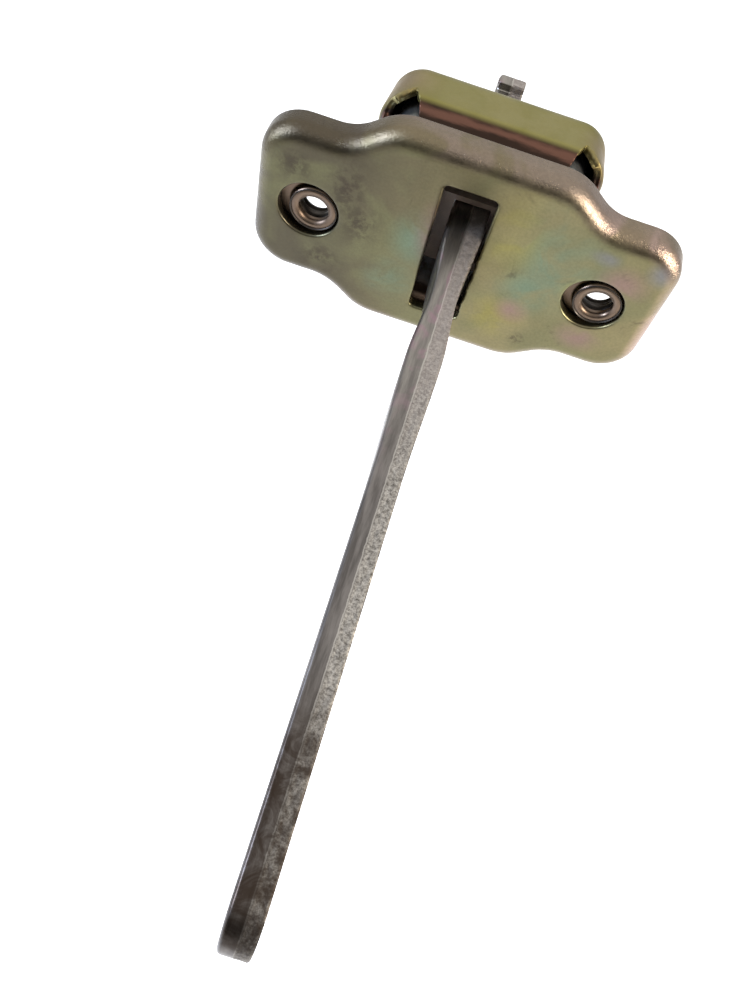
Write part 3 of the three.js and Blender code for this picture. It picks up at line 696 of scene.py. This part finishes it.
def inner_case():
    """Flanged box drawn in one piece, as the surface that faces the plate and the inside. A wall
    is then given to its outer side. The collars' outsides rise from the flange round a small
    root; their rims and bores are tapped_collars."""
    front = FLANGE_FRONT
    back = CASE_HIGH[1]
    flange_inset = SHEET + 2 * GAP
    outline = rounded_path(plate_corners(), OUTLINE_RADII * 2)
    flange = outline[0] - outline[1] * flange_inset
    sizes = [size - CASE_WALL for size in (*CASE_HALF, CASE_CORNER)]
    box = rectangle_path(*sizes, arc_steps=10)
    slot = rectangle_path(*REAR_SLOT_HALF, REAR_SLOT_CORNER, arc_steps=6)
    bend = CASE_BEND
    floor_y = back - CASE_WALL
    wall = np.concatenate([
        arc_profile(-90, -180, bend, (bend, front + bend), 8),
        arc_profile(0, 90, bend, (-bend, floor_y - bend), 8),
    ])
    case = Surface()
    case.add_sweep(box, wall)
    case.add_flat(box[0] - box[1] * bend, [slot[0]], floor_y, 3 * MM)
    roots = []
    for side in (-1, 1):
        around = circle_path(COLLAR_OUTER, (side * SCREW_X, 0), 72)
        outside = np.concatenate([
            arc_profile(90, 180, COLLAR_ROOT, (COLLAR_ROOT, front - COLLAR_ROOT), 6),
            [(0, COLLAR_FRONT + COLLAR_RIM)],
        ])
        case.add_sweep(around, outside)
        roots.append(around[0] + around[1] * COLLAR_ROOT)
    case.add_flat(flange, [box[0] + box[1] * bend, *roots], front)
    made = case.build("inner_case_pressing")
    thicken(made, CASE_WALL, outward_from=(0, 0.5 * (front + back), 0), inside_surface=True)
    finish(made, "case", "blue_zinc_case",
           zinc("blue_white_zinc", "#bcc3c6", "#918d87", "#5e5044", 6, 0.45), "inner_case")
    tapped_collars()


def tapped_collars():
    """The two collars' rims, flared mouths and M6 x 1 threads. A thread's surface is
    radius = minor radius + half the thread's depth * (1 + cos(angle - 2 pi depth / pitch))."""
    thread_start = COLLAR_FRONT + MOUTH_DEPTH + THREAD_START
    angles = np.linspace(0, 2 * np.pi, 72, endpoint=False)
    flare = COLLAR_OUTER - COLLAR_RIM - THREAD_RADIUS
    share = np.linspace(0, 1, 14)
    both = Surface()
    for side in (-1, 1):
        centre = (side * SCREW_X, 0)
        around = circle_path(THREAD_RADIUS, centre, 72)
        wall = COLLAR_OUTER - THREAD_RADIUS
        rim = np.concatenate([
            [(wall - SKIN, FLANGE_BACK - GAP), (wall - SKIN, COLLAR_FRONT + COLLAR_RIM)],
            arc_profile(0, -90, COLLAR_RIM, (wall - COLLAR_RIM, COLLAR_FRONT + COLLAR_RIM), 6)[1:],
            np.stack([flare * (1 - share) ** 1.6, COLLAR_FRONT + MOUTH_DEPTH * share], axis=1)[1:],
            [(0, thread_start)],
        ])
        both.add_sweep(around, rim)
        depths = np.linspace(thread_start, COLLAR_BACK, 50)
        phase = angles[:, None] - 2 * np.pi * depths[None, :] / THREAD_PITCH
        fade = np.clip((depths - depths[0]) / (0.5 * MM), 0, 1)
        groove = THREAD_RELIEF * (1 + np.cos(phase)) * fade
        flat = around[0][:, None, :] + around[1][:, None, :] * groove[..., None]
        depth = np.broadcast_to(depths, groove.shape)
        grid = np.stack([flat[..., 0], depth, flat[..., 1]], axis=-1)
        both.add(grid, grid_faces(*grid.shape[:2]))
        end = around[0] + around[1] * groove[:, -1:]
        outer = around[0] + around[1] * (wall - SKIN)
        ring = np.stack([end, outer], axis=1)
        back = np.full(ring.shape[:2], COLLAR_BACK)
        both.add(np.stack([ring[..., 0], back, ring[..., 1]], axis=-1), grid_faces(72, 2))
        both.add_sweep(around, [(wall - SKIN, COLLAR_BACK), (wall - SKIN, FLANGE_BACK - GAP)])
    made = both.build("tapped_collars", sharp_degrees=50)
    # painted shade: the collars are coloured dark brown-grey, as the inside of the plate's holes
    # looks in shade
    finish(made, "case", "blue_zinc_case",
           zinc("shade_dark_zinc_collar", "#33302d", "#403c37", "#37332f", 3, 0.55))


def cover_edge(points):
    """Depth of the cover's front edge at each point of its outline. The lips reach forward to
    LIP_EDGE; at each corner the edge climbs steeply from the top lip's end to the notch's tip
    and falls again round the corner to the side lip."""
    x, z = np.abs(points[:, 0]), np.abs(points[:, 1])
    # distance round the outline from the notch's tip towards the side, straightened
    round_corner = np.hypot(np.maximum(x - NOTCH_X, 0), np.maximum(COVER_HIGH[2] - z, 0))
    full = math.hypot(COVER_HIGH[0] - NOTCH_X, COVER_HIGH[2] - SIDE_LIP_END)
    climb = np.clip((x - TOP_LIP_END) / (NOTCH_X - TOP_LIP_END), 0, 1)
    fall = np.clip(round_corner / full, 0, 1)
    top = LIP_EDGE + (NOTCH_TIP - LIP_EDGE) * climb ** 0.8
    corner = NOTCH_TIP - (NOTCH_TIP - SIDE_LIP_EDGE) * fall ** 0.8
    edge = np.where(x > NOTCH_X, corner, top)
    rise = np.clip((z - SIDE_LIP_END + SIDE_LIP_RISE) / SIDE_LIP_RISE, 0, 1)
    return np.where(z < SIDE_LIP_END, LIP_EDGE + (SIDE_LIP_EDGE - LIP_EDGE) * rise, edge)


def back_cover():
    """Drawn cup. Its profile goes from the flat back round a bend and forward along a wall with
    draft to the fold, where the wall turns in as a lip. Each row of the grid lies at the deeper
    of the row's own depth and the front edge at that place, which cuts the notches."""
    back = COVER_HIGH[1]
    front = LIP_EDGE
    path = rectangle_path(COVER_HIGH[0], COVER_HIGH[2], COVER_CORNER, step=0.25 * MM, arc_steps=40)
    fold = FOLD_SPREAD
    lip_angle = math.atan2(LIP_FALL, FOLD_Y - front)

    def inset(depth):
        """Distance inside the outline: draft behind the fold, and the lip's slope before it,
        joined by a soft step."""
        draft = COVER_DRAFT * (depth - FOLD_Y) / (back - FOLD_Y)
        ahead = np.log1p(np.exp((FOLD_Y - depth) / (0.18 * fold))) * 0.18 * fold
        return np.maximum(draft, 0) + math.tan(lip_angle) * ahead

    straight = back - COVER_BEND
    start = inset(np.array([straight]))[0]
    bend = arc_profile(90, 0, COVER_BEND, (-start - COVER_BEND, straight), 14)
    depths = np.concatenate([
        np.linspace(straight, FOLD_Y + fold, 14)[1:],
        np.linspace(FOLD_Y + fold, FOLD_Y - fold, 14)[1:],
        np.linspace(FOLD_Y - fold, front, 14)[1:],
    ])
    cup = Surface()
    cup.add_sweep(path, bend)
    edge = cover_edge(path[0])
    ragged = np.random.default_rng(7).normal(size=len(edge) + 6)
    ragged = np.convolve(ragged, np.ones(7) / 7, mode="valid")
    edge = edge + np.where(edge > front + 0.3 * MM, ragged * 0.25 * MM, 0)
    depth = np.maximum(np.append(straight, depths)[None, :], edge[:, None])
    flat = path[0][:, None, :] - path[1][:, None, :] * inset(depth)[..., None]
    grid = np.stack([flat[..., 0], depth, flat[..., 1]], axis=-1)
    # the value marks the folded-in lip, where the cover's material paints its shade and highlight
    lip = np.clip((FOLD_Y - depth) / (0.8 * MM), 0, 1)
    cup.add(grid, grid_faces(*grid.shape[:2]), lip)
    slot = rectangle_path(*REAR_SLOT_HALF, REAR_SLOT_CORNER, arc_steps=6)
    cup.add_flat(path[0] - path[1] * (start + COVER_BEND), [slot[0]], back, 3 * MM)
    made = cup.build("back_cover_drawing", sharp_degrees=50)
    thicken(made, COVER_WALL, outward_from=(0, 18 * MM, 0), inside_surface=False)
    finish(made, "case", "yellow_zinc_cover", yellow_chromate_cover(), "back_cover")


def half_thickness(reach):
    """Half the strip's thickness at a distance along the arm: eased steps between the named
    sizes, then a rounded-off tip."""
    stations = np.array(THICKNESS) * MM
    index = np.clip(np.searchsorted(stations[:, 0], reach, side="right") - 1, 0, len(stations) - 2)
    start, end = stations[index], stations[index + 1]
    share = np.clip((reach - start[..., 0]) / (end[..., 0] - start[..., 0]), 0, 1)
    eased = share * share * (3 - 2 * share)
    half = start[..., 1] + (end[..., 1] - start[..., 1]) * eased
    tip = np.clip((reach - (ARM_REACH - TIP_LENGTH)) / TIP_LENGTH, 0, 1)
    return half - (STRIP_HALF - TIP_HALF) * tip ** 3


def on_arm(points):
    """From arm coordinates (side, distance along from the swing axis, across) to the frame."""
    side, reach, across = points[:, 0], points[:, 1], points[:, 2]
    sideways = side[:, None] * np.array([1.0, 0, 0])
    return SWING + sideways - reach[:, None] * INWARD + across[:, None] * ACROSS


def check_arm():
    """Sheared strip. Its flat pattern's outline is carried across the thickness: a rolled-in
    corner, a smooth burnished band and a rough fractured band with a small burr. The two rolled
    faces fill the pattern on each side, at the strip's half thickness there."""
    half = ARM_HALF_WIDTH
    corners = [
        (-HEAD_BACK, -HEAD_HALF), (-HEAD_FRONT, -HEAD_HALF), (-HEAD_FRONT, -half),
        (ARM_REACH, -half),
    ]
    corners += [(reach, -across) for reach, across in reversed(corners)]
    radii = [0.8 * MM, 0.3 * MM, 0.3 * MM, half * 0.999]
    pattern = rounded_path(corners, radii + radii[::-1], step=0.35 * MM, arc_steps=40)
    eye_centre = (ARM_REACH - half, 0)
    eye = circle_path(EYE_RADIUS, eye_centre, 80)
    across = np.linspace(-1, 1, 19)
    share = (-0.7 - across) / 0.3
    roll = np.where(across < -0.7, 1 - np.sqrt(np.clip(1 - share ** 2, 0, 1)), 0) * SHEAR_ROLL
    roll = roll + np.clip((across - 0.92) / 0.08, 0, 1) * BURR
    rng = np.random.default_rng(11)
    arm = Surface()
    for path, outward in ((pattern, 1), (eye, -1)):
        points, normals = path
        crumble = rng.normal(size=(len(points), len(across)))
        crumble = (crumble + np.roll(crumble, 1, axis=0) + np.roll(crumble, 1, axis=1)) / 3
        rough = np.clip((across - 0.12) / 0.12, 0, 1) * np.clip((0.99 - across) / 0.1, 0, 1)
        inset = roll[None, :] + (CRUMBLE * (1 + crumble)) * rough[None, :]
        flat = points[:, None, :] - outward * normals[:, None, :] * inset[..., None]
        side = across[None, :] * half_thickness(flat[..., 0])
        grid = np.stack([side, flat[..., 0], flat[..., 1]], axis=-1)
        zone = np.broadcast_to(0.1 + 0.45 * (across + 1), grid.shape[:2])
        arm.add(grid, grid_faces(*grid.shape[:2]), zone)
    # a narrow band inside each edge keeps the cut's colour and crumbling off the rolled faces
    for edge, index in ((-1, 0), (1, -1)):
        loops = []
        for (points, normals), outward in ((pattern, 1), (eye, -1)):
            rings = [
                points - outward * normals * (roll[index] + inset) for inset in (0, FACE_MARGIN)
            ]
            flat = np.stack(rings, axis=1)
            side = edge * half_thickness(flat[..., 0])
            grid = np.stack([side, flat[..., 0], flat[..., 1]], axis=-1)
            arm.add(grid, grid_faces(*grid.shape[:2]), np.broadcast_to([0.1, 0.0], grid.shape[:2]))
            loops.append(rings[1])
        verts, faces = flat_face(loops[0], [loops[1]], 1.2 * MM)
        side = edge * half_thickness(verts[:, 0])
        arm.add(np.stack([side, verts[:, 0], verts[:, 1]], axis=1), faces, 0.0)
    made = arm.build("check_arm_strip", sharp_degrees=60, shape=on_arm)
    finish(made, "arm", "sheared_steel", sheared_strip(), "check_arm")


def stop_block(name, node, ends, r, slot_name, material):
    """A block on the arm, open at the top like a horseshoe. Its outline is carried over edges
    rounded to r from front to back, which are distances behind the swing axis."""
    front, back = ends
    outline = rounded_path(np.array(STOP_OUTLINE) * MM, np.array(STOP_RADII) * MM, arc_steps=8)
    profile = np.concatenate([
        arc_profile(-90, 0, r, (-r, front + r), 6), arc_profile(0, 90, r, (-r, back - r), 6),
    ])
    block = Surface()
    block.add_sweep(outline, profile)
    for depth in (front, back):
        block.add_flat(outline[0] - outline[1] * r, [], depth, 2 * MM)
    made = block.build(name, shape=on_arm)
    finish(made, "arm", slot_name, material, node)


def thicken(piece, wall, outward_from, inside_surface):
    """Gives a shell its wall. The faces first all point away from a point inside it, and the
    wall goes outwards from an inside surface or inwards from an outside one."""
    mesh = piece.data
    work = bmesh.new()
    work.from_mesh(mesh)
    work.normal_update()
    middle = Vector(outward_from)
    facing = sum(
        (face.calc_center_median() - middle).dot(face.normal) * face.calc_area()
        for face in work.faces
    )
    if facing < 0:
        bmesh.ops.reverse_faces(work, faces=work.faces)
    work.to_mesh(mesh)
    work.free()
    solid = piece.modifiers.new("wall", "SOLIDIFY")
    solid.thickness = wall
    solid.offset = 1.0 if inside_surface else -1.0
    solid.use_even_offset = False


def finish(piece, body, slot_name, material, *nodes):
    """Material, body and any nodes that the piece stands for; slot_name is not used."""
    piece.data.materials.append(material)
    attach(piece, body)
    if nodes:
        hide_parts(*nodes)


def dress(nodes, material):
    """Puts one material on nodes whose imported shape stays."""
    for name in nodes:
        node = frame["nodes"][name]
        node.data.materials.clear()
        node.data.materials.append(material)


# ---- studio -------------------------------------------------------------------------------

CAMERA_PLACE = (-2.85, -115.0, 105.5)
CAMERA_VIEW = (0.01787, 0.52647, -0.85001)
CAMERA_UP = (-0.31157, 0.81074, 0.4956)
CAMERA_LENS = 32.44
CEILING = (0.0, 0.33, 0.94)  # the way to the brightest part of the room
FLOOR_SIZE = 6.0
FLOOR_Z = -0.35


def camera():
    """Camera above and in front of the plate, rolled so that the screw line runs downhill."""
    place = Vector(CAMERA_PLACE) * MM
    view = Vector(CAMERA_VIEW).normalized()
    up = Vector(CAMERA_UP)
    right = view.cross(up).normalized()
    up = right.cross(view)
    data = bpy.data.cameras.new("camera")
    data.lens = CAMERA_LENS
    data.sensor_width = 36
    data.clip_start = 0.005
    made = bpy.data.objects.new("camera", data)
    turn = Matrix((right, up, -view)).transposed().to_4x4()
    made.matrix_world = Matrix.Translation(place) @ turn
    bpy.context.scene.collection.objects.link(made)
    bpy.context.scene.camera = made


def area_light(name, place, aim, size, power, colour="#ffffff"):
    """Soft rectangular lamp aimed at a point."""
    data = bpy.data.lights.new(name, "AREA")
    data.shape = "RECTANGLE"
    data.size, data.size_y = size
    data.energy = power
    data.color = linear(colour)[:3]
    made = bpy.data.objects.new(name, data)
    turn = (Vector(aim) - Vector(place)).to_track_quat("-Z", "Y").to_matrix().to_4x4()
    made.matrix_world = Matrix.Translation(place) @ turn
    bpy.context.scene.collection.objects.link(made)


def studio():
    """Pale floor well below the part, and a soft lamp to each side of it."""
    size, low = FLOOR_SIZE, FLOOR_Z
    mesh = bpy.data.meshes.new("floor")
    corners = [(-size, -size, low), (size, -size, low), (size, size, low), (-size, size, low)]
    mesh.from_pydata(corners, [], [(0, 1, 2, 3)])
    floor = bpy.data.objects.new("floor", mesh)
    bpy.context.scene.collection.objects.link(floor)
    mesh.materials.append(studio_paper())
    room()
    area_light("window_right", (0.82, -0.28, 0.30), (0, 0, 0), (0.3, 0.5), 17, "#fff5e8")
    area_light("window_left", (-0.75, -0.26, 0.26), (0, 0, 0), (0.18, 0.3), 13, "#cfe0ff")


def room():
    """Soft daylight: a bright ceiling that falls off to a dim room in front of the part."""
    world = bpy.data.worlds.new("room")
    world.use_nodes = True
    tree = world.node_tree
    direction = add(tree, "TexCoord", out="Generated")
    height = add(tree, "VectorMath", {0: direction, 1: CEILING}, "Value", operation="DOT_PRODUCT")
    height = add(tree, "MapRange", {0: height, 1: -0.15, 2: 0.85}, **SOFT)
    sky = add(tree, "Mix", {0: height, 6: linear("#3a3631"), 7: linear("#ffffff")}, 2, **COLOUR)
    background = tree.nodes["Background"]
    tree.links.new(sky, background.inputs["Color"])
    background.inputs["Strength"].default_value = 1.45
    bpy.context.scene.world = world


bpy.context.scene.view_settings.view_transform = "Standard"
front_plate()
inner_case()
back_cover()
check_arm()
# painted light: the rubber, the guide cage and the strip parts get lighter, browner colours than
# bare rubber and steel, which paints light into the slot; the rubber and cage also carry dust and
# grease
rubber = moulded("nitrile_rubber_dust_and_painted_light", "#4a4039", "#655850", 0.62, 1.52, 0.3)
strip = plain_steel("cold_rolled_strip", "#6a5f56", "#83776c", 0.45, 0.6)
stop_block("stop_buffer_block", "stop_buffer", STOP_BUFFER, 0.6 * MM, "black_rubber", rubber)
stop_block("stop_plate_blank", "stop_plate", STOP_PLATE, 0.15 * MM, "spring_steel", strip)
dress(["guide_cage"], moulded("greasy_dust_and_painted_light", "#6e5f55", "#84756a", 0.6, 1.48, 0.5))
dress(["roller_carrier_left", "roller_carrier_right", "pressure_plate_left",
       "pressure_plate_right"], strip)
dress(["roller_left", "roller_right"],
      moulded("black_acetal", "#242321", "#302e2b", 0.42, 1.48, 0.5))
dress(["roller_pin_left", "roller_pin_right"],
      plain_steel("ground_pin_steel", "#5d5b58", "#73716d", 0.26, 0.36))
dress(["rubber_cushion_left", "rubber_cushion_right"], rubber)
camera()
studio()
